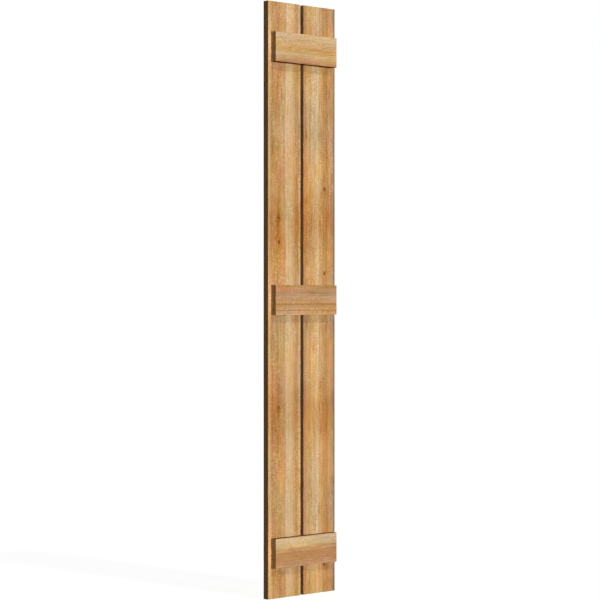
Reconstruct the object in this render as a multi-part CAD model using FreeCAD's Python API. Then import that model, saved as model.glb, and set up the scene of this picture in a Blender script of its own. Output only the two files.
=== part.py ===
"""Board and batten shutter: upright boards set a gap apart and held together by cross battens.

Frame, in millimetres: +Z is up, +X is to the right as seen from the front and +Y points to the wall.
The origin is on the wall side of the left board, at the middle of its width and height.
"""

import FreeCAD, Part
import os

# Upright boards, from left to right
BOARD_NAMES = ("left_board", "right_board")
BOARD_LENGTH = 1828.8
BOARD_WIDTH = 139.7
BOARD_THICKNESS = 20.6
BOARD_GAP = 12.7

# Cross battens, from the lowest to the highest
BATTEN_NAMES = ("bottom_batten", "middle_batten", "top_batten")
BATTEN_HEIGHT = 92.0
BATTEN_THICKNESS = 20.6
# From the shutter's outer edge to the end of a batten
BATTEN_INSET = 12.7
# From the end of the boards to the near edge of an outer batten
END_MARGIN = 94.0

# The long arrises are eased with a round, and the sawn ends with a smaller chamfer.
ARRIS_RADIUS = 1.0
END_CHAMFER = 0.5

# Places that follow from the sizes above
WALL_Y = 0.0
BOARD_FRONT_Y = WALL_Y - BOARD_THICKNESS
BOARD_PITCH = BOARD_WIDTH + BOARD_GAP
SHUTTER_WIDTH = BOARD_PITCH * len(BOARD_NAMES) - BOARD_GAP
SHUTTER_CENTRE_X = (SHUTTER_WIDTH - BOARD_WIDTH) / 2
BATTEN_LENGTH = SHUTTER_WIDTH - 2 * BATTEN_INSET
OUTER_BATTEN_Z = BOARD_LENGTH / 2 - END_MARGIN - BATTEN_HEIGHT / 2
BATTEN_PITCH = 2 * OUTER_BATTEN_Z / (len(BATTEN_NAMES) - 1)

ORIGIN = FreeCAD.Vector(0, 0, 0)
ACROSS_WALL = FreeCAD.Vector(0, 1, 0)
UP = FreeCAD.Vector(0, 0, 1)


def plank(length, width, thickness):
    """One sawn plank, upright and centred on the origin: its section run along its length, then eased."""
    sides = ((-1, -1), (1, -1), (1, 1), (-1, 1))
    corners = [FreeCAD.Vector(x * width / 2, y * thickness / 2, -length / 2) for x, y in sides]
    section = Part.Face(Part.makePolygon(corners + corners[:1]))
    sawn = section.extrude(UP * length)
    arrises = [edge for edge in sawn.Edges if edge.BoundBox.ZLength > length / 2]
    eased = sawn.makeFillet(ARRIS_RADIUS, arrises)
    ends = [face for face in eased.Faces if face.BoundBox.ZLength < length / 2]
    return eased.makeChamfer(END_CHAMFER, [edge for end in ends for edge in end.Edges])


def board(index):
    """An upright board with its back on the wall plane."""
    shape = plank(BOARD_LENGTH, BOARD_WIDTH, BOARD_THICKNESS)
    shape.translate(FreeCAD.Vector(index * BOARD_PITCH, WALL_Y - BOARD_THICKNESS / 2, 0))
    return shape


def batten(index):
    """A batten laid across the boards and seated on their fronts."""
    shape = plank(BATTEN_LENGTH, BATTEN_HEIGHT, BATTEN_THICKNESS)
    shape.rotate(ORIGIN, ACROSS_WALL, 90)
    middle_z = index * BATTEN_PITCH - OUTER_BATTEN_Z
    shape.translate(FreeCAD.Vector(SHUTTER_CENTRE_X, BOARD_FRONT_Y - BATTEN_THICKNESS / 2, middle_z))
    return shape


def shutter():
    """Every piece of the shutter, by its name."""
    pieces = {name: board(index) for index, name in enumerate(BOARD_NAMES)}
    pieces.update({name: batten(index) for index, name in enumerate(BATTEN_NAMES)})
    return pieces


os.makedirs("parts", exist_ok=True)
for piece_name, solid in shutter().items():
    solid.exportStep(f"parts/{piece_name}.step")
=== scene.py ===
"""The looks of a board and batten shutter in rough-sawn cedar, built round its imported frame.

Each plank is a closed mesh with sawn relief, and its material is cut out of one solid piece of timber:
bands of tone and growth rings lie round a log's pith and run on through the plank from face to face.
Lengths are in metres, but those of the timber's pattern and relief are in millimetres.
"""

import math
from dataclasses import dataclass, field

import bmesh
import bpy
import numpy as np
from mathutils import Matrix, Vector


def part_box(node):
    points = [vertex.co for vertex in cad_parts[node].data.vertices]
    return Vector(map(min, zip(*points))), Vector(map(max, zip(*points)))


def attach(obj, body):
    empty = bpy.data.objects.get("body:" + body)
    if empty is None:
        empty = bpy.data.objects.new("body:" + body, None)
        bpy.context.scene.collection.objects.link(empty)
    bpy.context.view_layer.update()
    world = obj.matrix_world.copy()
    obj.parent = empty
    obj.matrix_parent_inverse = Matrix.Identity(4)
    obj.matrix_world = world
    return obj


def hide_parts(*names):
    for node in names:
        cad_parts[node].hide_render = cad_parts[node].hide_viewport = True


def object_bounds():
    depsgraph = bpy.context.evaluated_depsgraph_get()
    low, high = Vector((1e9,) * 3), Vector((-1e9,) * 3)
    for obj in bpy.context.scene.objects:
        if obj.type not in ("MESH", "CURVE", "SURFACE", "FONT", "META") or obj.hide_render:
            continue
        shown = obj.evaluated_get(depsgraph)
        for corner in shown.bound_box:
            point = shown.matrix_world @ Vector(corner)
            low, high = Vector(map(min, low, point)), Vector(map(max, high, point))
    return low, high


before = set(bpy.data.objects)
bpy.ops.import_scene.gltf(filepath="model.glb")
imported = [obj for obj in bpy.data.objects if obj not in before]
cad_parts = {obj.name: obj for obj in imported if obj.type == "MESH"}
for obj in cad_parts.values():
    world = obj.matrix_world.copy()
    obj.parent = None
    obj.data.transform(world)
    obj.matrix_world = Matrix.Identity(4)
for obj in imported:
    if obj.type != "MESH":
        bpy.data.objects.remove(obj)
cad_low, cad_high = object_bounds()

MM = 0.001
X, Y, Z = 0, 1, 2
WHITE = (1.0, 1.0, 1.0, 1.0)

# The photograph's camera: level, at mid-height, turned from the front towards the left
IMAGE_PIXELS = 600
FOCAL_PIXELS = 2130.0
SENSOR_MM = 36.0
CAMERA_TURN = math.radians(45.0)
CAMERA_DISTANCE = 6.601
CAMERA_SIDESTEP = 0.0061

# The studio: a paper floor and a world that look white, and the world's own light on the shutter
FLOOR_REACH = 30.0
FLOOR_PAPER = (0.15, 0.15, 0.15, 1.0)
FLOOR_GLOW = 0.935
WORLD_GLOW = 1.0
WORLD_LIGHT = 0.13

# The planks' meshes: radii of the eased edges, and sizes of a lattice's cells
ARRIS_EASE = 0.6 * MM
END_EASE = 0.4 * MM
ACROSS_STEP = 1.6 * MM
THROUGH_STEP = 2.6 * MM
BOARD_ALONG_STEP = 5.6 * MM
BATTEN_ALONG_STEP = 2.6 * MM
# Where lattice lines cross an eased edge, as shares of its radius
EASE_TANGENTS = (math.tan(math.radians(22.5)), 1.0)
# The sides of a lattice's box: an axis, and the first or last line along it
BOX_SIDES = [(axis, end) for axis in (X, Y, Z) for end in (0, -1)]
# Faces that meet at less than this angle are shaded as one.
SMOOTH_ANGLE = math.radians(50)
# A share of an edge's round that counts as none
NO_TURN = 1e-6

# Screws, driven from the back through the boards into the battens, made down to the start of their shanks
BATTENS = ("bottom_batten", "middle_batten", "top_batten")
SCREW_ACROSS = 36.0 * MM
SCREW_UP = 22.0 * MM
SCREW_SIDES = 48
# Rings of a screw, from the end of its shank to the flat of its head: radius and depth under the back
SCREW_RINGS_MM = ((2.0, 5.0), (2.0, 3.3), (4.1, 1.3), (4.2, 1.1), (4.0, 1.0))
# The lobed driver recess in a screw's head, which narrows from its top to its floor
RECESS_RADIUS = 1.9 * MM
RECESS_LOBE = 0.3 * MM
RECESS_LOBES = 6
RECESS_TOP = 1.0 * MM
RECESS_FLOOR = 2.4 * MM
RECESS_TAPER = 0.9
# Rings down the hole that a screw sinks into: radius and depth under the board's sawn back
SINK_RINGS_MM = ((5.1, 0.0), (4.8, 0.25), (4.5, 0.9), (2.3, 3.2), (2.3, 5.2))
# The small square cells round a hole, and how many there are from its middle to each side
SINK_CELL = 1.5 * MM
SINK_REACH_CELLS = 4


def linear(red, green, blue):
    """A colour given as screen values from 0 to 255, as the linear values that shaders take."""
    shares = [value / 255 for value in (red, green, blue)]
    levels = [s / 12.92 if s <= 0.04045 else ((s + 0.055) / 1.055) ** 2.4 for s in shares]
    return (*levels, 1.0)


# Tones of the cedar, from pale sapwood to dark heartwood
CREAM = linear(219, 184, 138)
PALE = linear(214, 179, 132)
ASH = linear(208, 178, 139)
DUNE = linear(205, 173, 130)
STRAW = linear(210, 172, 121)
SAND = linear(202, 166, 118)
HONEY = linear(207, 164, 106)
TAN = linear(201, 155, 102)
BLUSH = linear(194, 151, 106)
ROSE = linear(194, 146, 97)
MAUVE = linear(186, 142, 102)
PLUM = linear(181, 135, 97)
AMBER = linear(188, 141, 86)
COPPER = linear(194, 140, 90)
RUST = linear(182, 132, 84)
UMBER = linear(165, 117, 68)
DUSK = linear(158, 123, 93)
# Painted light: a paler strip beside each batten's end, as light bounced off the end would make it
BOUNCE_LIT_TONE = linear(231, 187, 139)
# A knot's middle and its rim
KNOT_HEART = linear(126, 72, 30)
KNOT_RIM = linear(150, 96, 48)
# What a stained place multiplies the tone by, also on battens' edges as painted shade, and what a greyed
# place does, also as painted shade below the middle batten
STAIN_AND_EDGE_SHADE = (0.82, 0.68, 0.50, 1.0)
GREY_AND_SHADE_TINT = (0.88, 0.92, 1.00, 1.0)
# Tones of the narrow faces, how much of them covers the wood's own tone, and how far a face has to turn
END_GRAIN = linear(198, 158, 110)
SAWN_SIDE = linear(174, 135, 93)
# Painted shade: a dark tone on the battens' top and foot faces, where little light falls
PAINTED_SHADE_EDGE = linear(92, 58, 24)
NARROW_COVER = 0.92
NARROW_TURN = (0.6, 0.9)
# The screws' plain steel
STEEL = linear(158, 154, 146)
STEEL_ROUGHNESS = 0.36
STEEL_ROUGHNESS_REACH = 0.12
STEEL_CLOUDS_PER_METRE = 900.0


@dataclass
class Relief:
    """One kind of unevenness in sawn wood: its depth, its cell across, through and along, and a seed."""

    depth: float
    spans: tuple
    seed: int


# Sawn relief, in millimetres under a plank's full size: a mean, and what faces, ends and arrises add
MEAN_DEPTH = 0.18
FACE_RELIEF = (
    Relief(depth=0.10, spans=(3.4, 3.4, 130), seed=1),
    Relief(depth=0.10, spans=(11, 11, 240), seed=2),
    Relief(depth=0.06, spans=(50, 20, 13), seed=3),
)
END_RELIEF = (Relief(depth=0.10, spans=(2.2, 2.6, 60), seed=4),)
ARRIS_RELIEF = (
    Relief(depth=0.10, spans=(30, 30, 24), seed=5),
    Relief(depth=0.08, spans=(8, 8, 7), seed=6),
)
# How much longer than wide a knot's relief is
KNOT_STRETCH = 1.3
# A knot's dent and the swelling round it in millimetres, their places and spans in knot radii
KNOT_DENT = 0.35
KNOT_DENT_SPAN = 0.8
KNOT_SWELLING = 0.12
KNOT_SWELLING_PLACE = 1.4
KNOT_SWELLING_SPAN = 0.5
# Cells in the table of random values along each axis, and seeds kept for each plank
NOISE_TABLE = 64
SEEDS_PER_PLANK = 100


@dataclass
class Layer:
    """One scale of light and dark in the wood.

    Its spans are its noise's cell across, through and along, its reach is how far it lightens and darkens,
    and its height is its share of the bumps.
    """

    spans: tuple
    reach: float
    height: float = 0.0
    follows_rings: bool = False
    detail: float = 2.0
    roughness: float = 0.5


LAYERS = {
    "cloud": Layer((80, 60, 190), reach=0.18),
    "blotch": Layer((34, 40, 62), reach=0.16),
    "streak": Layer((7, 20, 110), reach=0.17, height=0.40, follows_rings=True, detail=3.0, roughness=0.55),
    "thread": Layer((2.8, 12, 60), reach=0.17, height=0.15, follows_rings=True, detail=3.0, roughness=0.6),
    "fuzz": Layer((8, 8, 4.4), reach=0.32, height=0.15, roughness=0.6),
    "fibre": Layer((0.9, 0.9, 26), reach=0.34, height=0.50, follows_rings=True, detail=3.0),
    "saw": Layer((13, 10, 2.5), reach=0.17, height=0.20, roughness=0.6),
}
# Changes of hue, from grey to orange and from olive to pink, and how each moves red, green and blue
WARMTH = Layer((45, 40, 230), reach=0.26)
WARM_SHIFT = (1.0, 0.0, -1.8)
PINKNESS = Layer((26, 30, 110), reach=0.17, follows_rings=True)
PINK_SHIFT = (0.37, -1.0, 0.84)
# A darker place in the wood is a warmer brown: green and blue fall faster than red.
SHADE_POWERS = (1.0, 1.55, 2.6)
DARKEST_SHADE = 0.3

# Fuzz and saw marks are torn up along the fibres: where in the fibres' noise, and how strong they are
TORN_EDGE = (0.38, 0.62)
TORN_LEAST = 0.15
TORN_MORE = 1.7
# Fuzz is also stronger in patches.
PATCH_SPANS = (40, 40, 140)
PATCH_EDGE = (0.35, 0.65)
PATCH_LEAST = 0.45
PATCH_MORE = 1.1

# Growth rings, in millimetres: how far apart they are, and how far and in what cells they stray
RING_PITCH = 4.4
RING_DRIFT = 8.0
RING_DRIFT_SPANS = (18, 30, 300)
# Late wood, the dark line of a ring: where in a year it starts and peaks, and its share of the year
LATE_START = 0.45
LATE_PEAK = 0.93
LATE_SHARE = 0.20
# How dark the line is, its least strength, what a year may add to that, and its height in the bumps
LATE_DEPTH = 0.24
LATE_LEAST = 0.3
LATE_MORE = 1.4
LATE_HEIGHT = 0.2

# Veins, thin dark lines along the grain: where a noise is near its middle, broken up by a second noise
VEIN_DEPTH = 0.15
VEIN_SPANS = (11, 40, 600)
VEIN_HALF_WIDTH = 0.07
VEIN_BREAK_SPANS = (14, 30, 45)
VEIN_BREAK_EDGE = (0.42, 0.60)

# How the grain wanders across a plank: cells in millimetres, and shares of the timber's sway
GRAIN_WANDER = (((90, 60, 420), 1.0), ((26, 26, 90), 0.4))
# How far the grain parts round a knot, and over what length, in knot radii
KNOT_PARTING = 1.3
KNOT_PARTING_LENGTH = 2.8
# A knot's colours: its length and the spans of its halo in knot radii, then how they blend in
KNOT_LENGTH = 1.1
KNOT_HALO = (1.3, 4.5)
KNOT_HALO_STRENGTH = 0.8
KNOT_FLECK = 0.25
KNOT_RIM_EDGE = (0.22, 0.45)
KNOT_HEART_EDGE = (0.50, 0.80)

# The wood's surface
BUMP_STRENGTH = 0.7
BUMP_DISTANCE = 0.5 * MM
WOOD_ROUGHNESS = 0.80
WOOD_ROUGHNESS_REACH = 0.12
WOOD_SPECULAR = 0.03

# Millimetres in depth by which one seed's noise lies past the next
SEED_STRIDE = 37.0
# Half sizes of a place that shows evenly over a whole plank
WHOLE_WIDTH = 1000.0
WHOLE_LENGTH = 10000.0
# A span so wide that a bell over it is level
LEVEL_SPAN = 1e6

# Sockets of a mix node that blends colours
MIX_FACTOR, MIX_FIRST, MIX_SECOND = 0, 6, 7
MIX_RESULT = 2

# A plank's own axes in the frame: across it, through it and along it
UPRIGHT = (X, Y, Z)
LYING = (Z, Y, X)


@dataclass
class Timber:
    """How one plank was sawn from its log, in millimetres from the plank's centre.

    Bands are tones at shares of the front's width. A knot is a place across and along, and a radius.
    Stains, greys, painted shade on edges, painted light by the battens' ends and calm places are a place,
    its half sizes and a strength. Some greys are painted shade. Stains and greys lie along the wandering
    grain, and the others along the plank.
    """

    node: str
    axes: tuple
    along_step: float
    pith: tuple
    bands: list
    sway: float
    seed: int
    contrast: float = 1.0
    slope: float = 0.0
    edge_tone: tuple = SAWN_SIDE
    cast: tuple = WHITE
    knots: list = field(default_factory=list)
    stains: list = field(default_factory=list)
    shaded_edge_lines: list = field(default_factory=list)
    grey_and_shaded_places: list = field(default_factory=list)
    bounce_lit_strips: list = field(default_factory=list)
    calm: list = field(default_factory=list)


def middle_mm(node):
    """The middle of a node's box, in millimetres. The boards' is at height 0."""
    low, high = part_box(node)
    return (low + high) / 2 / MM


TIMBERS = (
    Timber(
        node="left_board",
        axes=UPRIGHT,
        along_step=BOARD_ALONG_STEP,
        pith=(-260.0, 60.0),
        sway=9.0,
        seed=11,
        bands=[
            (0.00, TAN), (0.01, STRAW), (0.05, STRAW), (0.08, TAN), (0.11, ROSE), (0.22, ROSE),
            (0.26, TAN), (0.30, AMBER), (0.33, AMBER), (0.36, TAN), (0.45, TAN), (0.49, BLUSH),
            (0.55, PALE), (0.66, PALE), (0.75, STRAW), (0.79, HONEY), (0.82, TAN), (0.86, ROSE),
            (0.91, TAN), (0.94, STRAW), (0.97, PALE), (1.00, PALE),
        ],
        knots=[(-25.0, 252.0, 5.6), (-23.0, 178.0, 5.6), (-25.0, -330.0, 5.0)],
        stains=[
            (0.0, 740.0, WHOLE_WIDTH, 60.0, 0.25),
            (0.0, 227.0, WHOLE_WIDTH, 85.0, 0.60),
            (0.0, -338.0, WHOLE_WIDTH, 85.0, 0.60),
            (0.0, -925.0, WHOLE_WIDTH, 85.0, 0.25),
            (-35.0, 222.0, 28.0, 75.0, 0.40),
            (-35.0, -340.0, 28.0, 75.0, 0.35),
            (52.0, 225.0, 14.0, 100.0, 0.18),
            (52.0, -340.0, 14.0, 90.0, 0.12),
            (-24.0, 215.0, 3.0, 34.0, 0.50),
            (52.6, 360.0, 3.0, 22.0, 0.80),
            (-32.0, 241.0, 4.5, 8.0, 0.90),
            (-32.0, 189.0, 4.5, 8.0, 0.90),
        ],
        grey_and_shaded_places=[
            (0.0, 530.0, WHOLE_WIDTH, 70.0, 0.35),
            (0.0, -640.0, WHOLE_WIDTH, 70.0, 0.30),
            # Painted shade: greying just below the middle batten, where its shadow falls
            (20.0, -82.0, 30.0, 40.0, 0.60),
        ],
        # Painted light: a pale strip beside each batten's end, standing in for light bounced off that end
        bounce_lit_strips=[(-63.0, middle_mm(batten).z, 9.0, 52.0, 0.90) for batten in BATTENS],
        calm=[(-70.0, 0.0, 14.0, WHOLE_LENGTH, 0.60), (26.0, 0.0, 30.0, WHOLE_LENGTH, 0.50)],
    ),
    Timber(
        node="right_board",
        axes=UPRIGHT,
        along_step=BOARD_ALONG_STEP,
        pith=(-240.0, 70.0),
        sway=8.0,
        seed=23,
        contrast=0.94,
        cast=(1.02, 1.00, 0.98, 1.0),
        bands=[
            (0.00, ROSE), (0.02, MAUVE), (0.06, ROSE), (0.10, TAN), (0.13, HONEY), (0.17, HONEY),
            (0.20, TAN), (0.22, HONEY), (0.245, PALE), (0.27, STRAW), (0.31, STRAW), (0.34, PALE),
            (0.39, PALE), (0.43, CREAM), (0.46, PALE), (0.50, STRAW), (0.54, HONEY), (0.59, TAN),
            (0.66, ROSE), (0.72, AMBER), (0.76, AMBER), (0.81, TAN), (0.87, BLUSH), (0.93, BLUSH),
            (0.97, DUSK), (1.00, DUSK),
        ],
        knots=[(24.3, 347.0, 5.2), (23.0, 83.0, 4.6), (22.0, -826.0, 5.2)],
        stains=[
            (0.0, 740.0, WHOLE_WIDTH, 60.0, 0.25),
            (0.0, 243.0, WHOLE_WIDTH, 85.0, 0.85),
            (0.0, -350.0, WHOLE_WIDTH, 85.0, 0.85),
            (0.0, -925.0, WHOLE_WIDTH, 85.0, 0.35),
            (-30.0, -870.0, 34.0, 40.0, 0.35),
            (31.0, -836.0, 10.0, 14.0, 0.80),
            (44.0, -878.0, 7.0, 10.0, 0.70),
            (-57.0, 509.0, 4.0, 14.0, 1.00),
            (-56.0, 312.0, 7.0, 14.0, 0.90),
            (-56.0, 118.0, 7.0, 14.0, 0.80),
            (-57.0, -72.0, 4.0, 14.0, 1.00),
            (35.5, 234.0, 4.0, 45.0, 0.60),
            (24.5, 385.0, 3.0, 26.0, 0.70),
        ],
        grey_and_shaded_places=[
            (0.0, 890.0, WHOLE_WIDTH, 60.0, 0.50),
            (0.0, 515.0, WHOLE_WIDTH, 70.0, 0.80),
            (0.0, -645.0, WHOLE_WIDTH, 70.0, 0.80),
            # Painted shade: greying just below the middle batten, where its shadow falls
            (10.0, -82.0, WHOLE_WIDTH, 42.0, 1.00),
        ],
        calm=[(0.0, -430.0, WHOLE_WIDTH, 380.0, 0.20)],
    ),
    Timber(
        node="bottom_batten",
        axes=LYING,
        along_step=BATTEN_ALONG_STEP,
        pith=(-190.0, 80.0),
        sway=7.0,
        seed=37,
        edge_tone=PAINTED_SHADE_EDGE,
        contrast=0.68,
        slope=-0.08,
        bands=[
            (0.00, MAUVE), (0.07, MAUVE), (0.12, PLUM), (0.20, PLUM), (0.24, RUST), (0.48, RUST),
            (0.52, ROSE), (0.56, BLUSH), (0.62, BLUSH), (0.68, SAND), (0.73, DUNE), (0.80, ASH),
            (1.00, ASH),
        ],
        # Painted shade: a dark line along this batten's top edge
        shaded_edge_lines=[(46.0, 0.0, 2.0, WHOLE_LENGTH, 0.90)],
    ),
    Timber(
        node="middle_batten",
        axes=LYING,
        along_step=BATTEN_ALONG_STEP,
        pith=(-280.0, 50.0),
        sway=1.5,
        seed=41,
        edge_tone=PAINTED_SHADE_EDGE,
        contrast=0.64,
        cast=(0.99, 1.05, 1.15, 1.0),
        bands=[
            (0.00, STRAW), (0.05, BLUSH), (0.13, BLUSH), (0.15, RUST), (0.165, RUST), (0.185, TAN),
            (0.24, ROSE), (0.29, AMBER), (0.34, AMBER), (0.355, UMBER), (0.37, UMBER), (0.385, AMBER),
            (0.42, ROSE), (0.54, BLUSH), (0.60, BLUSH), (0.66, MAUVE), (0.71, MAUVE), (0.75, PLUM),
            (0.80, COPPER), (0.88, COPPER), (0.94, AMBER), (1.00, RUST),
        ],
    ),
    Timber(
        node="top_batten",
        axes=LYING,
        along_step=BATTEN_ALONG_STEP,
        pith=(-170.0, 90.0),
        sway=6.0,
        seed=53,
        edge_tone=PAINTED_SHADE_EDGE,
        contrast=0.72,
        slope=0.09,
        bands=[
            (0.00, MAUVE), (0.08, MAUVE), (0.12, ROSE), (0.17, TAN), (0.23, HONEY), (0.28, STRAW),
            (0.33, HONEY), (0.47, HONEY), (0.56, SAND), (0.63, DUNE), (0.74, DUNE), (0.80, ASH),
            (0.93, ASH), (1.00, DUNE),
        ],
        stains=[(-2.0, 75.0, 5.0, 50.0, 0.6)],
        # Painted shade: a dark line along this batten's foot edge
        shaded_edge_lines=[(-46.0, 0.0, 2.0, WHOLE_LENGTH, 0.70)],
    ),
)


def value_noise(cells, seed):
    """Smooth random values from -1 to 1 at points given in cells."""
    table = np.random.default_rng(seed).uniform(-1, 1, (NOISE_TABLE, NOISE_TABLE, NOISE_TABLE))
    corner = np.floor(cells).astype(int)
    blend = cells - corner
    blend = blend * blend * (3 - 2 * blend)
    total = np.zeros(len(cells))
    for step in np.ndindex(2, 2, 2):
        weight = np.where(step, blend, 1 - blend).prod(axis=1)
        index = (corner + step) % NOISE_TABLE
        total += weight * table[index[:, 0], index[:, 1], index[:, 2]]
    return total


def lattice_lines(half, ease, step):
    """Where a lattice's lines cross one side of a plank: even on the flat, closer over eased edges."""
    flat = half - ease
    count = max(round(2 * flat / step), 1)
    edge = [flat + ease * tangent for tangent in EASE_TANGENTS]
    mirrored = [-value for value in reversed(edge)]
    return np.array(mirrored + list(np.linspace(-flat, flat, count + 1)) + edge)


def with_fine_rows(lines, centres):
    """The same lines with a patch of small square cells set in round each centre."""
    reach = SINK_REACH_CELLS * SINK_CELL
    clear = reach + SINK_CELL / 2
    kept = [line for line in lines if all(abs(line - centre) > clear for centre in centres)]
    offsets = np.arange(-SINK_REACH_CELLS, SINK_REACH_CELLS + 1) * SINK_CELL
    return np.array(sorted(kept + [centre + offset for centre in centres for offset in offsets]))


def side_of(grid, axis, end):
    """One side of a three-way grid: its first or last layer along an axis."""
    return grid[tuple(end if a == axis else slice(None) for a in (X, Y, Z))]


def box_points(lines):
    """The points of a lattice that lie on its box, and the lattice with their numbers on it."""
    grid = np.stack(np.meshgrid(*lines, indexing="ij"), axis=-1)
    outer = np.zeros(grid.shape[:-1], bool)
    for axis, end in BOX_SIDES:
        side_of(outer, axis, end)[...] = True
    ids = np.full(outer.shape, -1)
    ids[outer] = np.arange(outer.sum())
    return grid[outer], ids


def box_quads(ids):
    """The faces of a lattice's box, from the lattice with its points' numbers."""
    quads = []
    for axis, end in BOX_SIDES:
        side = side_of(ids, axis, end)
        corners = (side[:-1, :-1], side[1:, :-1], side[1:, 1:], side[:-1, 1:])
        quads.append(np.stack([corner.ravel() for corner in corners], axis=1))
    return np.vstack(quads).tolist()


def plank_relief(timber, local_mm, facing, bend):
    """How far each point lies under the plank's full size, in metres, with worn arrises and knots."""

    def rough(kinds):
        total = 0.0
        for kind in kinds:
            cells = local_mm / kind.spans + NOISE_TABLE / 2
            total = total + kind.depth * value_noise(cells, timber.seed * SEEDS_PER_PLANK + kind.seed)
        return total

    across, _, along = local_mm.T
    _, _, end_turn = np.abs(facing).T
    depth = MEAN_DEPTH + rough(FACE_RELIEF) + end_turn * rough(END_RELIEF) + bend * rough(ARRIS_RELIEF)
    for knot_across, knot_along, radius in timber.knots:
        distance = np.hypot(across - knot_across, (along - knot_along) / KNOT_STRETCH) / radius
        past_swelling = distance - KNOT_SWELLING_PLACE
        depth += KNOT_DENT * np.exp(-((distance / KNOT_DENT_SPAN) ** 2))
        depth -= KNOT_SWELLING * np.exp(-((past_swelling / KNOT_SWELLING_SPAN) ** 2))
    return np.clip(depth, 0, None) * MM


def screw_spots(board):
    """Where the screws of one board stand on its back, as points in the frame."""
    low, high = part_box(board)
    middle_x = (low.x + high.x) / 2
    spots = []
    for batten in BATTENS:
        batten_low, batten_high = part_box(batten)
        middle_z = (batten_low.z + batten_high.z) / 2
        for side in (-1, 1):
            spots.append(Vector((middle_x + side * SCREW_ACROSS, high.y, middle_z + side * SCREW_UP)))
    return spots


def rim_of(patch):
    """The numbers round the edge of a square patch, in their order."""
    return [int(i) for i in (*patch[:-1, 0], *patch[-1, :-1], *patch[:0:-1, -1], *patch[0, :0:-1])]


def band_of_quads(first, second):
    """Faces between two closed rings with as many points each."""
    return list(zip(first, first[1:] + first[:1], second[1:] + second[:1], second))


def cut_sinks(points, quads, back_ids, lines, centre, spots):
    """Opens a countersunk hole at each spot of a plank's back: cells give way to rings down to a floor."""
    dropped = set()
    added = []
    faces = []
    for spot in spots:
        column = int(np.argmin(np.abs(lines[X] + centre.x - spot.x)))
        row = int(np.argmin(np.abs(lines[Z] + centre.z - spot.z)))
        columns, rows = (slice(at - SINK_REACH_CELLS, at + SINK_REACH_CELLS + 1) for at in (column, row))
        patch = back_ids[columns, rows]
        dropped |= set(patch[1:-1, 1:-1].ravel().tolist())
        loop = rim_of(patch)
        surface_y = float(np.mean([points[i][Y] for i in loop]))
        angles = [math.atan2(points[i][Z] - spot.z, points[i][X] - spot.x) for i in loop]
        for radius_mm, depth_mm in SINK_RINGS_MM:
            first = len(points) + len(added)
            for angle in angles:
                side = Vector((math.cos(angle), 0, math.sin(angle))) * radius_mm * MM
                added.append((spot.x + side.x, surface_y - depth_mm * MM, spot.z + side.z))
            ring = list(range(first, first + len(angles)))
            faces += band_of_quads(loop, ring)
            loop = ring
        faces.append(tuple(loop))
    kept = [tuple(quad) for quad in quads if not dropped.intersection(quad)]
    return np.vstack([points, np.array(added)]), kept + faces


def plank(timber):
    """The visible mesh of one plank: a lattice over its box with eased, worn edges and sawn relief."""
    low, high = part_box(timber.node)
    centre = (low + high) / 2
    half = np.array((high - low) / 2)
    axes = list(timber.axes)
    ease = np.empty(3)
    ease[axes] = ARRIS_EASE, ARRIS_EASE, END_EASE
    steps = np.empty(3)
    steps[axes] = ACROSS_STEP, THROUGH_STEP, timber.along_step
    lines = [lattice_lines(*sizes) for sizes in zip(half, ease, steps)]
    spots = screw_spots(timber.node) if timber.axes == UPRIGHT else []
    if spots:
        for axis in (X, Z):
            centres = sorted({spot[axis] - centre[axis] for spot in spots})
            lines[axis] = with_fine_rows(lines[axis], centres)

    # The box's points are drawn in to its eased edges, and then down into the relief.
    square, ids = box_points(lines)
    core = np.clip(square, ease - half, half - ease)
    facing = (square - core) / ease
    bend = (np.abs(facing) > NO_TURN).sum(axis=1) > 1
    facing /= np.linalg.norm(facing, axis=1, keepdims=True)
    rounded = core + facing * ease
    normal = facing / ease
    normal /= np.linalg.norm(normal, axis=1, keepdims=True)
    depth = plank_relief(timber, rounded[:, axes] / MM, normal[:, axes], bend)
    points = rounded - normal * depth[:, None] + np.array(centre)

    quads = box_quads(ids)
    if spots:
        points, quads = cut_sinks(points, quads, side_of(ids, Y, -1), lines, centre, spots)
    return mesh_object(timber.node + "_cedar", points, quads)


def screws(spots):
    """Flat-headed screws with a lobed driver recess, sunk under the backs of the boards, in one mesh."""
    angles = np.arange(SCREW_SIDES) * 2 * math.pi / SCREW_SIDES
    lobed = RECESS_RADIUS + RECESS_LOBE * np.cos(RECESS_LOBES * angles)
    rings = [(np.full(SCREW_SIDES, radius * MM), depth * MM) for radius, depth in SCREW_RINGS_MM]
    rings += [(lobed, RECESS_TOP), (RECESS_TAPER * lobed, RECESS_FLOOR)]
    points = []
    faces = []
    for spot in spots:
        loops = []
        for radii, depth in rings:
            loops.append(list(range(len(points), len(points) + SCREW_SIDES)))
            for radius, angle in zip(radii, angles):
                side_x, side_z = radius * math.cos(angle), radius * math.sin(angle)
                points.append((spot.x + side_x, spot.y - depth, spot.z + side_z))
        for first, second in zip(loops, loops[1:]):
            faces += band_of_quads(first, second)
        faces += [tuple(loops[0]), tuple(loops[-1])]
    return mesh_object("back_screws", points, faces)


def mesh_object(name, points, faces):
    """A smooth mesh object in the scene, its faces turned outwards and its loose points dropped."""
    mesh = bpy.data.meshes.new(name)
    mesh.from_pydata([tuple(point) for point in points], [], faces)
    shape = bmesh.new()
    shape.from_mesh(mesh)
    loose = [point for point in shape.verts if not point.link_faces]
    bmesh.ops.delete(shape, geom=loose, context="VERTS")
    bmesh.ops.recalc_face_normals(shape, faces=shape.faces)
    for face in shape.faces:
        face.smooth = True
    shape.to_mesh(mesh)
    shape.free()
    mesh.set_sharp_from_angle(angle=SMOOTH_ANGLE)
    piece = bpy.data.objects.new(name, mesh)
    bpy.context.scene.collection.objects.link(piece)
    return piece


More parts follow.
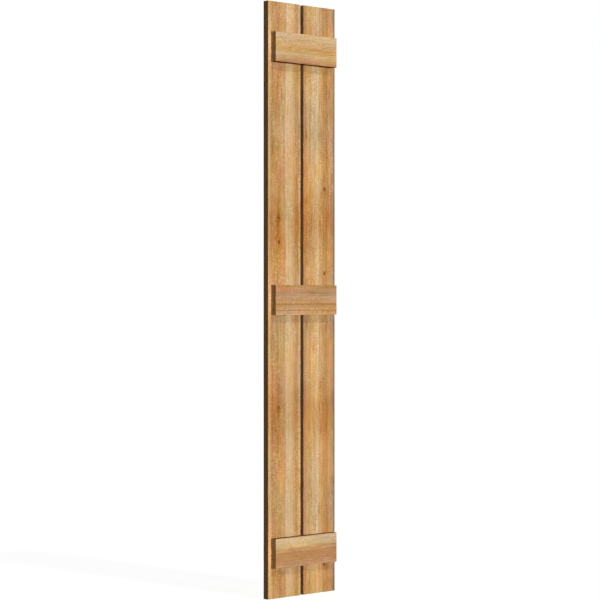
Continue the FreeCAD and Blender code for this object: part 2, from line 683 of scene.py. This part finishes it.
class Graph:
    """Short ways to add nodes to a tree.

    A value given to a node is a number, a colour or another node's output.
    """

    def __init__(self, tree):
        self.tree = tree

    def put(self, socket, value):
        """Gives a socket its value."""
        if isinstance(value, bpy.types.NodeSocket):
            self.tree.links.new(value, socket)
        else:
            socket.default_value = value

    def add(self, kind, values=(), **settings):
        """A new node of a kind with its settings, and values for the sockets that are named."""
        node = self.tree.nodes.new(kind)
        for name, value in settings.items():
            setattr(node, name, value)
        for key, value in dict(values).items():
            self.put(node.inputs[key], value)
        return node

    def math(self, operation, *values, clamp=False):
        """The result of one operation on one to three values."""
        node = self.add("ShaderNodeMath", operation=operation, use_clamp=clamp)
        for socket, value in zip(node.inputs, values):
            self.put(socket, value)
        return node.outputs[0]

    def vector(self, x, y, z):
        """A vector of three values."""
        return self.add("ShaderNodeCombineXYZ", {"X": x, "Y": y, "Z": z}).outputs[0]

    def noise(self, vector, detail=2.0, roughness=0.5):
        """Smooth noise from 0 to 1 over a vector in cells."""
        values = {"Vector": vector, "Scale": 1.0, "Detail": detail, "Roughness": roughness}
        return self.add("ShaderNodeTexNoise", values).outputs["Fac"]

    def swing(self, value, reach):
        """A value from 0 to 1, as one from minus reach to plus reach."""
        return self.math("MULTIPLY", self.math("SUBTRACT", value, 0.5), 2 * reach)

    def smooth(self, value, start, end):
        """0 before start, 1 after end, and a smooth step between them. Start may be above end."""
        values = {"Value": value, "From Min": start, "From Max": end}
        return self.add("ShaderNodeMapRange", values, interpolation_type="SMOOTHSTEP").outputs["Result"]

    def ramp(self, value, stops):
        """The colour at a value from 0 to 1 between stops, the first at 0 and the last at 1."""
        node = self.add("ShaderNodeValToRGB", {"Fac": value})
        elements = node.color_ramp.elements
        for position, colour in stops[1:-1]:
            elements.new(position).color = colour
        elements[0].color = stops[0][1]
        elements[-1].color = stops[-1][1]
        return node.outputs["Color"]

    def blend(self, factor, first, second, kind="MIX"):
        """The first colour with a share of the second laid over it."""
        node = self.add("ShaderNodeMix", data_type="RGBA", blend_type=kind)
        self.put(node.inputs[MIX_FACTOR], factor)
        self.put(node.inputs[MIX_FIRST], first)
        self.put(node.inputs[MIX_SECOND], second)
        return node.outputs[MIX_RESULT]

    def bell(self, across, along, centre, spans):
        """1 at a centre and falling off like a bell over its two spans."""
        squares = []
        for value, middle, span in zip((across, along), centre, spans):
            share = self.math("MULTIPLY", self.math("SUBTRACT", value, middle), 1 / span)
            squares.append(self.math("MULTIPLY", share, share))
        return self.math("EXPONENT", self.math("MULTIPLY", self.math("ADD", *squares), -1.0))

    def surface(self, shader):
        """Ends the tree in a shader's output."""
        self.add("ShaderNodeOutputMaterial", {"Surface": shader.outputs[0]})


def new_material(name):
    """An empty node material and its graph."""
    material = bpy.data.materials.new(name)
    material.use_nodes = True
    material.node_tree.nodes.clear()
    return material, Graph(material.node_tree)


class Log:
    """Where each point of a plank lies in its log, in millimetres, and what its wood is like there.

    All of them are values in a node graph.
    """

    def __init__(self, graph, timber):
        self.graph = graph
        self.timber = timber
        low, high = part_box(timber.node)
        self.size_mm = (high - low) / MM
        scaled = graph.add("ShaderNodeVectorMath", operation="MULTIPLY_ADD")
        graph.put(scaled.inputs[0], graph.add("ShaderNodeTexCoord").outputs["Object"])
        graph.put(scaled.inputs[1], (1 / MM, 1 / MM, 1 / MM))
        graph.put(scaled.inputs[2], -(low + high) / 2 / MM)
        parts = graph.add("ShaderNodeSeparateXYZ", {"Vector": scaled.outputs[0]}).outputs
        self.across, self.through, self.along = (parts[axis] for axis in timber.axes)
        self.deep = graph.math("ADD", self.through, timber.seed * SEED_STRIDE)
        self.grain = self.wandering_grain()
        squares = []
        for value, pith in zip((self.grain, self.through), timber.pith):
            offset = graph.math("SUBTRACT", value, pith)
            squares.append(graph.math("MULTIPLY", offset, offset))
        self.radius = graph.math("SQRT", graph.math("ADD", *squares))
        lean = graph.math("MULTIPLY", self.along, timber.slope)
        self.stream = graph.math("SUBTRACT", self.radius, lean)

    def cells(self, across, spans):
        """A point measured in cells of the given spans."""
        pairs = zip((across, self.deep, self.along), spans)
        scaled = [self.graph.math("MULTIPLY", value, 1 / span) for value, span in pairs]
        return self.graph.vector(*scaled)

    def noise_of(self, layer):
        """The noise of one layer, from 0 to 1."""
        across = self.stream if layer.follows_rings else self.across
        return self.graph.noise(self.cells(across, layer.spans), layer.detail, layer.roughness)

    def wandering_grain(self):
        """The place across the plank that a point's grain starts from: it wanders, and parts at knots."""
        graph = self.graph
        grain = self.across
        for spans, share in GRAIN_WANDER:
            wander = graph.noise(self.cells(self.across, spans))
            grain = graph.math("ADD", grain, graph.swing(wander, self.timber.sway * share))
        for knot_across, knot_along, radius in self.timber.knots:
            offset = graph.math("SUBTRACT", grain, knot_across)
            spans = (LEVEL_SPAN, KNOT_PARTING_LENGTH * radius)
            pinch = graph.bell(grain, self.along, (knot_across, knot_along), spans)
            pushed = graph.math("MULTIPLY", pinch, (KNOT_PARTING * radius) ** 2)
            left = graph.math("SUBTRACT", graph.math("MULTIPLY", offset, offset), pushed)
            distance = graph.math("SQRT", graph.math("MAXIMUM", left, 0.0))
            sided = graph.math("MULTIPLY", distance, graph.math("SIGN", offset))
            grain = graph.math("ADD", sided, knot_across)
        return grain

    def tone(self):
        """The colour band that a point's ring belongs to. The bands are laid out over the plank's front."""
        pith_across, pith_through = self.timber.pith
        half_across = self.size_mm[self.timber.axes[0]] / 2
        front = -self.size_mm[self.timber.axes[1]] / 2 - pith_through
        inner, outer = (math.hypot(side * half_across - pith_across, front) for side in (-1, 1))
        past_inner = self.graph.math("SUBTRACT", self.radius, inner)
        share = self.graph.math("DIVIDE", past_inner, outer - inner, clamp=True)
        banded = self.graph.ramp(share, self.timber.bands)
        return self.graph.blend(1.0, banded, self.timber.cast, "MULTIPLY")

    def late_wood(self):
        """The dark line that closes each year's ring: 0 off it, and a strength of the year's own on it."""
        graph = self.graph
        drift = graph.noise(self.cells(self.radius, RING_DRIFT_SPANS), detail=3.0, roughness=0.55)
        drifted = graph.math("MULTIPLY_ADD", drift, RING_DRIFT, self.radius)
        years = graph.math("DIVIDE", drifted, RING_PITCH)
        part = graph.math("FRACT", years)
        rise = graph.smooth(part, LATE_START, LATE_PEAK)
        fall = graph.smooth(part, 1.0, LATE_PEAK)
        year = {"W": graph.math("FLOOR", years)}
        chance = graph.add("ShaderNodeTexWhiteNoise", year, noise_dimensions="1D").outputs["Value"]
        strength = graph.math("MULTIPLY_ADD", chance, LATE_MORE, LATE_LEAST)
        return graph.math("MULTIPLY", graph.math("MULTIPLY", rise, fall), strength)

    def veins(self):
        """1 on thin, broken lines that run with the grain."""
        graph = self.graph
        wave = graph.noise(self.cells(self.stream, VEIN_SPANS), detail=1.0)
        off_line = graph.math("ABSOLUTE", graph.math("SUBTRACT", wave, 0.5))
        line = graph.smooth(off_line, VEIN_HALF_WIDTH, 0.0)
        kept = graph.smooth(graph.noise(self.cells(self.stream, VEIN_BREAK_SPANS)), *VEIN_BREAK_EDGE)
        return graph.math("MULTIPLY", line, kept)

    def patches(self):
        """From smooth places to rough ones, about 1 on the whole."""
        rough = self.graph.smooth(self.graph.noise(self.cells(self.across, PATCH_SPANS)), *PATCH_EDGE)
        return self.graph.math("ADD", self.graph.math("MULTIPLY", rough, PATCH_MORE), PATCH_LEAST)

    def layers(self):
        """The noise of every layer by its name, with fuzz and saw marks torn up along the fibres."""
        graph = self.graph
        values = {name: self.noise_of(layer) for name, layer in LAYERS.items()}
        fibres = graph.smooth(values["fibre"], *TORN_EDGE)
        torn = graph.math("MULTIPLY_ADD", fibres, TORN_MORE, TORN_LEAST)
        spreads = {"fuzz": graph.math("MULTIPLY", torn, self.patches()), "saw": torn}
        for name, spread in spreads.items():
            values[name] = graph.math("MULTIPLY_ADD", graph.swing(values[name], 0.5), spread, 0.5)
        return values

    def unevenness(self, values):
        """How much lighter than its tone each point is, and how far it stands up in the bumps."""
        graph = self.graph
        contrast = self.timber.contrast
        late = self.late_wood()
        late_depth = LATE_DEPTH * contrast
        light = graph.math("MULTIPLY_ADD", late, -late_depth, late_depth * LATE_SHARE)
        height = graph.math("MULTIPLY", late, LATE_HEIGHT)
        for name, layer in LAYERS.items():
            light = graph.math("ADD", light, graph.swing(values[name], layer.reach * contrast))
            height = graph.math("ADD", height, graph.math("MULTIPLY", values[name], layer.height))
        light = graph.math("SUBTRACT", light, graph.math("MULTIPLY", self.veins(), VEIN_DEPTH * contrast))
        return light, height

    def strength(self):
        """How much of its light and dark the wood shows: 1, and less in the timber's calm places."""
        shown = 1.0
        for across, along, half_width, half_length, loss in self.timber.calm:
            spot = self.graph.bell(self.across, self.along, (across, along), (half_width, half_length))
            shown = self.graph.math("MULTIPLY_ADD", spot, -loss, shown)
        return shown

    def with_stains_and_painted_light(self, colour):
        """The colour with the timber's warm, dark places and greyed ones, painted shade on edges and under
        the middle batten, and painted light by the battens' ends.
        """
        graph = self.graph
        timber = self.timber
        # Stains are real; the lines on the battens' edges and the greys below the middle batten are painted
        # shade.
        tints = (
            (STAIN_AND_EDGE_SHADE, self.grain, timber.stains),
            (STAIN_AND_EDGE_SHADE, self.across, timber.shaded_edge_lines),
            (GREY_AND_SHADE_TINT, self.grain, timber.grey_and_shaded_places),
        )
        for tint, place_across, places in tints:
            for across, along, half_width, half_length, strength in places:
                spot = graph.bell(place_across, self.along, (across, along), (half_width, half_length))
                colour = graph.blend(graph.math("MULTIPLY", spot, strength), colour, tint, "MULTIPLY")
        # Painted light: pale strips that stand in for light bounced off the battens' ends
        for across, along, half_width, half_length, strength in timber.bounce_lit_strips:
            spot = graph.bell(self.across, self.along, (across, along), (half_width, half_length))
            colour = graph.blend(graph.math("MULTIPLY", spot, strength), colour, BOUNCE_LIT_TONE)
        return colour

    def narrow_faces(self, colour):
        """The colour with the tones of the plank's ends and edges, which are more even than its front."""
        # On a batten the edges' tone is a painted shade that darkens its top and foot faces.
        graph = self.graph
        normal = graph.add("ShaderNodeNewGeometry").outputs["Normal"]
        facing = graph.add("ShaderNodeSeparateXYZ", {"Vector": normal}).outputs
        across_axis, _, along_axis = self.timber.axes
        for axis, tone in ((along_axis, END_GRAIN), (across_axis, self.timber.edge_tone)):
            turned = graph.smooth(graph.math("ABSOLUTE", facing[axis]), *NARROW_TURN)
            colour = graph.blend(graph.math("MULTIPLY", turned, NARROW_COVER), colour, tone)
        return colour

    def knotted(self, colour, fleck):
        """The colour with its knots, each a lighter rim round a dark red heart, in a warm halo."""
        graph = self.graph
        for knot_across, knot_along, knot_radius in self.timber.knots:
            spot = (knot_across, knot_along)
            near = graph.bell(self.across, self.along, spot, (knot_radius, KNOT_LENGTH * knot_radius))
            near = graph.math("ADD", near, graph.math("MULTIPLY", graph.swing(fleck, KNOT_FLECK), near))
            halo = graph.bell(self.across, self.along, spot, [span * knot_radius for span in KNOT_HALO])
            warmth = graph.math("MULTIPLY", halo, KNOT_HALO_STRENGTH)
            colour = graph.blend(warmth, colour, STAIN_AND_EDGE_SHADE, "MULTIPLY")
            colour = graph.blend(graph.smooth(near, *KNOT_RIM_EDGE), colour, KNOT_RIM)
            colour = graph.blend(graph.smooth(near, *KNOT_HEART_EDGE), colour, KNOT_HEART)
        return colour

    def shade_and_hue(self, light):
        """What the wood's light and dark, its warmth and its pinkness multiply red, green and blue by."""
        graph = self.graph
        strength = self.strength()
        shade = graph.math("MAXIMUM", graph.math("MULTIPLY_ADD", light, strength, 1.0), DARKEST_SHADE)
        warm = graph.swing(self.noise_of(WARMTH), WARMTH.reach)
        warm = graph.math("MULTIPLY", warm, strength)
        pink = graph.swing(self.noise_of(PINKNESS), PINKNESS.reach * self.timber.contrast)
        pink = graph.math("MULTIPLY", pink, strength)
        channels = []
        for power, warm_shift, pink_shift in zip(SHADE_POWERS, WARM_SHIFT, PINK_SHIFT):
            hue = graph.math("MULTIPLY_ADD", warm, warm_shift, 1.0)
            hue = graph.math("MULTIPLY_ADD", pink, pink_shift, hue)
            channels.append(graph.math("MULTIPLY", graph.math("POWER", shade, power), hue))
        return graph.vector(*channels)


def cedar(timber):
    """Rough-sawn cedar for one plank, its pattern solid through it and set out from the log's pith."""
    material, graph = new_material(timber.node + "_cedar")
    log = Log(graph, timber)
    values = log.layers()
    light, height = log.unevenness(values)
    colour = log.narrow_faces(log.with_stains_and_painted_light(log.tone()))
    colour = graph.blend(1.0, colour, log.shade_and_hue(light), "MULTIPLY")
    colour = log.knotted(colour, values["fuzz"])
    bumps = {"Height": height, "Strength": BUMP_STRENGTH, "Distance": BUMP_DISTANCE}
    normal = graph.add("ShaderNodeBump", bumps).outputs["Normal"]
    shader = graph.add("ShaderNodeBsdfPrincipled", {"Base Color": colour, "Normal": normal})
    uneven_sheen = graph.swing(values["streak"], WOOD_ROUGHNESS_REACH)
    graph.put(shader.inputs["Roughness"], graph.math("ADD", WOOD_ROUGHNESS, uneven_sheen))
    graph.put(shader.inputs["Specular IOR Level"], WOOD_SPECULAR)
    graph.surface(shader)
    return material


def screw_steel():
    """Plain steel, a little uneven in its sheen."""
    material, graph = new_material("screw_steel")
    place = graph.add("ShaderNodeTexCoord").outputs["Object"]
    clouds = {"Vector": place, "Scale": STEEL_CLOUDS_PER_METRE, "Detail": 3.0}
    cloudy = graph.add("ShaderNodeTexNoise", clouds).outputs["Fac"]
    shader = graph.add("ShaderNodeBsdfPrincipled", {"Base Color": STEEL, "Metallic": 1.0})
    uneven_sheen = graph.swing(cloudy, STEEL_ROUGHNESS_REACH)
    graph.put(shader.inputs["Roughness"], graph.math("ADD", STEEL_ROUGHNESS, uneven_sheen))
    graph.surface(shader)
    return material


def build_shutter():
    """The planks and their screws, each in the place of its node and with its slot of material."""
    spots = []
    for timber in TIMBERS:
        piece = plank(timber)
        piece.data.materials.append(cedar(timber))
        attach(piece, "root")
        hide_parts(timber.node)
        if timber.axes == UPRIGHT:
            spots += screw_spots(timber.node)
    fasteners = screws(spots)
    fasteners.data.materials.append(screw_steel())
    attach(fasteners, "root")


def sun(name, strength, turn, lift, spread):
    """A far lamp that shines on the shutter from a turn round it, 0 being in front, and from a height."""
    lamp = bpy.data.lights.new(name, "SUN")
    lamp.energy = strength
    lamp.angle = math.radians(spread)
    holder = bpy.data.objects.new(name, lamp)
    turn, lift = math.radians(turn), math.radians(lift)
    towards = Vector((math.sin(turn) * math.cos(lift), -math.cos(turn) * math.cos(lift), math.sin(lift)))
    holder.rotation_euler = towards.to_track_quat("Z", "Y").to_euler()
    bpy.context.scene.collection.objects.link(holder)


def white_for_the_eye(graph, seen, unseen):
    """The seen value for what the camera sees, also in a mirror or glass, and the unseen one for light."""
    path = graph.add("ShaderNodeLightPath").outputs
    direct = graph.math("MAXIMUM", path["Is Camera Ray"], path["Is Glossy Ray"])
    direct = graph.math("MAXIMUM", direct, path["Is Transmission Ray"])
    return graph.math("ADD", graph.math("MULTIPLY", direct, seen - unseen), unseen)


def build_floor():
    """A wide sheet of paper that looks white, throws little light back and keeps the shutter's shadow."""
    corners = ((-1, -1), (1, -1), (1, 1), (-1, 1))
    points = [(x * FLOOR_REACH, y * FLOOR_REACH, cad_low.z) for x, y in corners]
    floor = mesh_object("floor", points, [tuple(range(len(points)))])
    paper, graph = new_material("floor_paper")
    matt = graph.add("ShaderNodeBsdfDiffuse", {"Color": FLOOR_PAPER})
    glow = graph.add("ShaderNodeEmission", {"Color": WHITE})
    graph.put(glow.inputs["Strength"], white_for_the_eye(graph, FLOOR_GLOW, 0.0))
    both = graph.add("ShaderNodeAddShader")
    graph.put(both.inputs[0], matt.outputs[0])
    graph.put(both.inputs[1], glow.outputs[0])
    graph.surface(both)
    floor.data.materials.append(paper)


def build_light():
    """A white world, and suns: a low one in front, a high one that casts shadows, and one behind."""
    world = bpy.data.worlds.new("studio")
    world.use_nodes = True
    bpy.context.scene.world = world
    background = world.node_tree.nodes["Background"]
    graph = Graph(world.node_tree)
    graph.put(background.inputs["Color"], WHITE)
    graph.put(background.inputs["Strength"], white_for_the_eye(graph, WORLD_GLOW, WORLD_LIGHT))
    sun("front_key", strength=2.34, turn=-3.0, lift=2.5, spread=5.0)
    sun("upper_fill", strength=0.95, turn=0.0, lift=50.0, spread=4.0)
    sun("back_key", strength=2.6, turn=150.0, lift=7.0, spread=10.0)


def build_camera():
    """A level camera at mid-height, turned to the left of the front as in the photograph."""
    camera = bpy.data.cameras.new("camera")
    camera.sensor_width = SENSOR_MM
    camera.lens = FOCAL_PIXELS * SENSOR_MM / IMAGE_PIXELS
    holder = bpy.data.objects.new("camera", camera)
    forward = Vector((math.sin(CAMERA_TURN), math.cos(CAMERA_TURN), 0))
    right = Vector((math.cos(CAMERA_TURN), -math.sin(CAMERA_TURN), 0))
    board_low, board_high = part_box("left_board")
    aim = Vector(((cad_low.x + cad_high.x) / 2, board_low.y, (board_low.z + board_high.z) / 2))
    holder.location = aim - forward * CAMERA_DISTANCE - right * CAMERA_SIDESTEP
    holder.rotation_euler = forward.to_track_quat("-Z", "Y").to_euler()
    bpy.context.scene.collection.objects.link(holder)
    bpy.context.scene.camera = holder


bpy.context.scene.view_settings.view_transform = "Standard"
build_shutter()
build_floor()
build_light()
build_camera()
